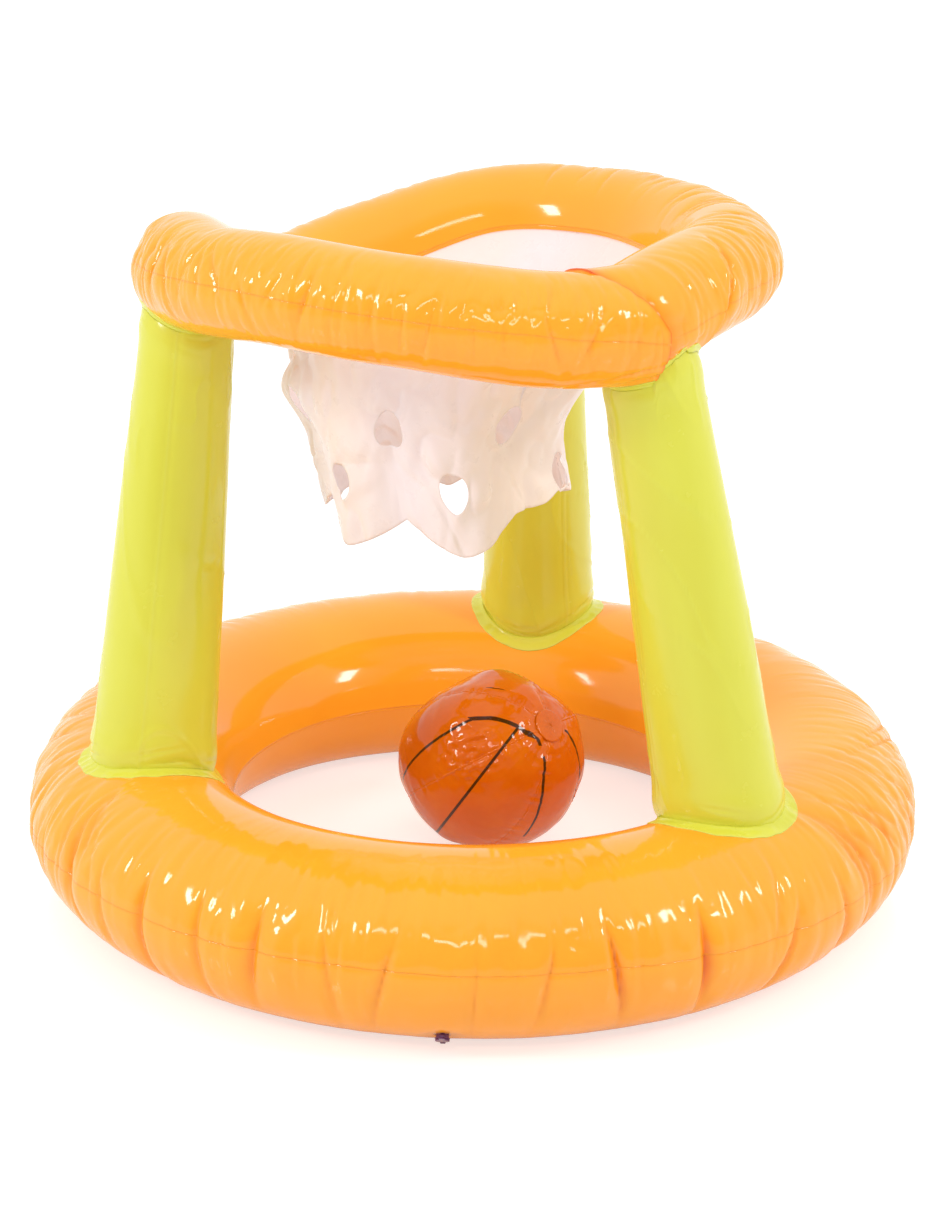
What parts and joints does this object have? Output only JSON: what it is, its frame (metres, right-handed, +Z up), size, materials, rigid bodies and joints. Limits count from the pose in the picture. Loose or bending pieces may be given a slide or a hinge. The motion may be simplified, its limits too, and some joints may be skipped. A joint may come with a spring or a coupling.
{
  "type": "floating basketball hoop",
  "caption": "Floating pool basketball hoop: inflated base ring with tapered legs that carry a smaller hoop ring with a scalloped film net, and a small panelled ball.",
  "frame": {"origin": "centre of the base ring, on the plane that it rests on", "axes": "+Z up through the hoop; -Y is the side with the gap between the left and the right leg, which the picture is taken from; +X is to the right from there"},
  "size_m": [0.67, 0.67, 0.5322],
  "materials": {
    "ring_orange": "clear-tinted glossy vinyl film, puckered along its seams",
    "leg_lime": "glossy lime vinyl film",
    "net_clear": "crinkled milky vinyl film",
    "ball_tan": "glossy vinyl film with printed black lines",
    "valve_purple": "soft moulded vinyl, half clear"
  },
  "bodies": {
    "stand": {"base_ring_upper_sheet": "ring_orange", "base_ring_lower_sheet": "ring_orange", "hoop_ring_upper_sheet": "ring_orange", "hoop_ring_lower_sheet": "ring_orange", "back_leg": "leg_lime", "back_leg_foot_flange": "leg_lime", "back_leg_top_flange": "leg_lime", "left_leg": "leg_lime", "left_leg_foot_flange": "leg_lime", "left_leg_top_flange": "leg_lime", "right_leg": "leg_lime", "right_leg_foot_flange": "leg_lime", "right_leg_top_flange": "leg_lime", "net": "net_clear", "base_valve": "valve_purple", "base_valve_flap": "net_clear", "hoop_valve": "valve_purple", "hoop_valve_flap": "net_clear"},
    "ball": {"ball_panel_1": "ball_tan", "ball_panel_2": "ball_tan", "ball_panel_3": "ball_tan", "ball_panel_4": "ball_tan", "ball_panel_5": "ball_tan", "ball_panel_6": "ball_tan", "ball_end_patch": "ball_tan", "ball_valve_patch": "ball_tan", "ball_valve": "valve_purple", "ball_valve_flap": "net_clear"},
    "base_stopper": {"base_valve_stopper": "valve_purple"},
    "hoop_stopper": {"hoop_valve_stopper": "valve_purple"},
    "ball_stopper": {"ball_valve_stopper": "valve_purple"}
  },
  "joints": [
    {"name": "ball_throw", "type": "slide", "parent": "stand", "child": "ball", "axis": [-0.124, -0.2073, 0.9704], "range_m": [0, 0.56]},
    {"name": "base_stopper_hinge", "type": "hinge", "parent": "stand", "child": "base_stopper", "pos_m": [-0.02082, -0.31766, 0.01916], "axis": [-0.9979, 0.0654, 0], "range_deg": [0, 150]},
    {"name": "hoop_stopper_hinge", "type": "hinge", "parent": "stand", "child": "hoop_stopper", "pos_m": [-0.18401, 0.15582, 0.4221], "axis": [0.697, 0.7167, -0.0228], "range_deg": [0, 150]},
    {"name": "ball_stopper_hinge", "type": "hinge", "parent": "ball", "child": "ball_stopper", "pos_m": [-0.02571, 0.08093, 0.02106], "axis": [-0.6628, -0.7488, 0], "range_deg": [0, 150]}
  ]
}
